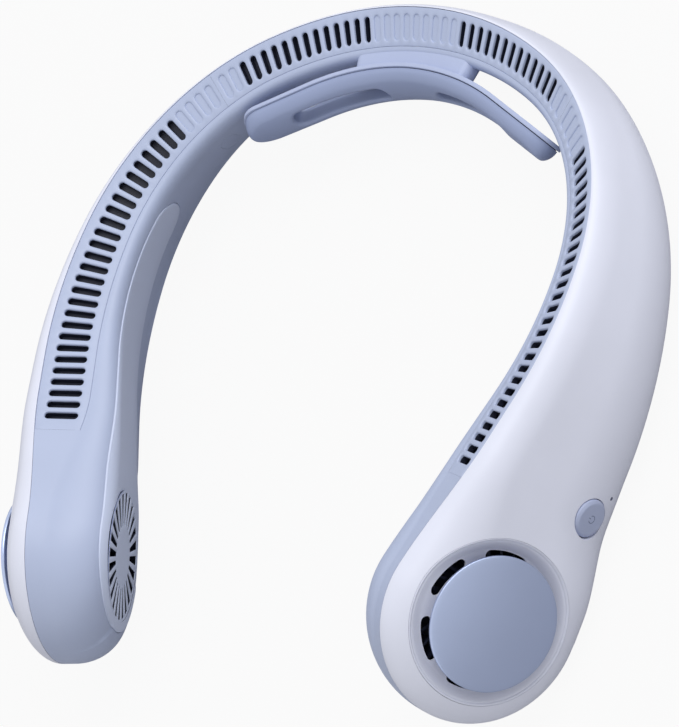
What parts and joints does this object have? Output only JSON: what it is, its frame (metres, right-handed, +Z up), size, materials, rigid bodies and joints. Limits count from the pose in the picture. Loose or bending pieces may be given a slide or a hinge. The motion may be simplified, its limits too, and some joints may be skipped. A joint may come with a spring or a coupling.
{
  "type": "electric neck fan",
  "caption": "Bladeless neck-worn fan: an open U-shaped band with a slotted air rim, a fan pod with a disc cap on each front end, a curved neck pad and a power button.",
  "frame": {"origin": "middle of the bounding box at the level the fan stands on", "axes": "+X to the wearer's left arm, -Y to the front ends with the pods, +Z up as it stands on a table"},
  "size_m": [0.2012, 0.1926, 0.053],
  "materials": {
    "shell_white": "satin",
    "shell_blue": "satin",
    "strip_blue": "satin",
    "pad_plastic": "satin",
    "pad_soft": "soft matte",
    "steel": "brushed",
    "board_green": "satin",
    "black_plastic": "matte",
    "clear": "clear",
    "button_white": "satin",
    "cap_blue": "satin",
    "bronze": "plain",
    "core_steel": "plain",
    "copper": "enamelled",
    "cell_foil": "foil",
    "wheel_dark": "matte",
    "magnet": "plain"
  },
  "bodies": {
    "housing": {"outer_shell": "shell_white", "inner_shell": "shell_blue", "back_vent_strip": "strip_blue", "neck_pad_mount": "pad_plastic", "neck_pad_frame": "pad_plastic", "neck_pad_cushion": "pad_soft", "screw_plugs": "shell_blue", "case_screws": "steel", "control_board": "board_green", "tact_switch": "black_plastic", "light_pipe": "clear", "board_screws": "steel", "charge_port": "steel", "left_inner_cover": "shell_blue", "left_vent_strip": "strip_blue", "left_intake_dish": "shell_white", "left_disc_cap": "cap_blue", "left_motor_bearing": "bronze", "left_stator_core": "core_steel", "left_motor_coils": "copper", "left_battery_cell": "cell_foil", "right_inner_cover": "shell_blue", "right_vent_strip": "strip_blue", "right_intake_dish": "shell_white", "right_disc_cap": "cap_blue", "right_motor_bearing": "bronze", "right_stator_core": "core_steel", "right_motor_coils": "copper", "right_battery_cell": "cell_foil"},
    "power_button": {"power_button": "button_white"},
    "left_fan": {"left_impeller": "wheel_dark", "left_rotor_magnet": "magnet", "left_rotor_shaft": "steel"},
    "right_fan": {"right_impeller": "wheel_dark", "right_rotor_magnet": "magnet", "right_rotor_shaft": "steel"}
  },
  "joints": [
    {"name": "left_fan_spin", "type": "hinge", "parent": "housing", "child": "left_fan", "pos_m": [0.07118, -0.06716, 0.02587], "axis": [0.9193, -0.2277, 0.3211], "continuous": true},
    {"name": "right_fan_spin", "type": "hinge", "parent": "housing", "child": "right_fan", "pos_m": [-0.07118, -0.06716, 0.02587], "axis": [-0.9193, -0.2277, 0.3211], "continuous": true},
    {"name": "power_press", "type": "slide", "parent": "housing", "child": "power_button", "axis": [-0.9527, 0.302, 0.0334], "range_m": [0, 0.0004], "stiffness_N_per_m": 800}
  ]
}
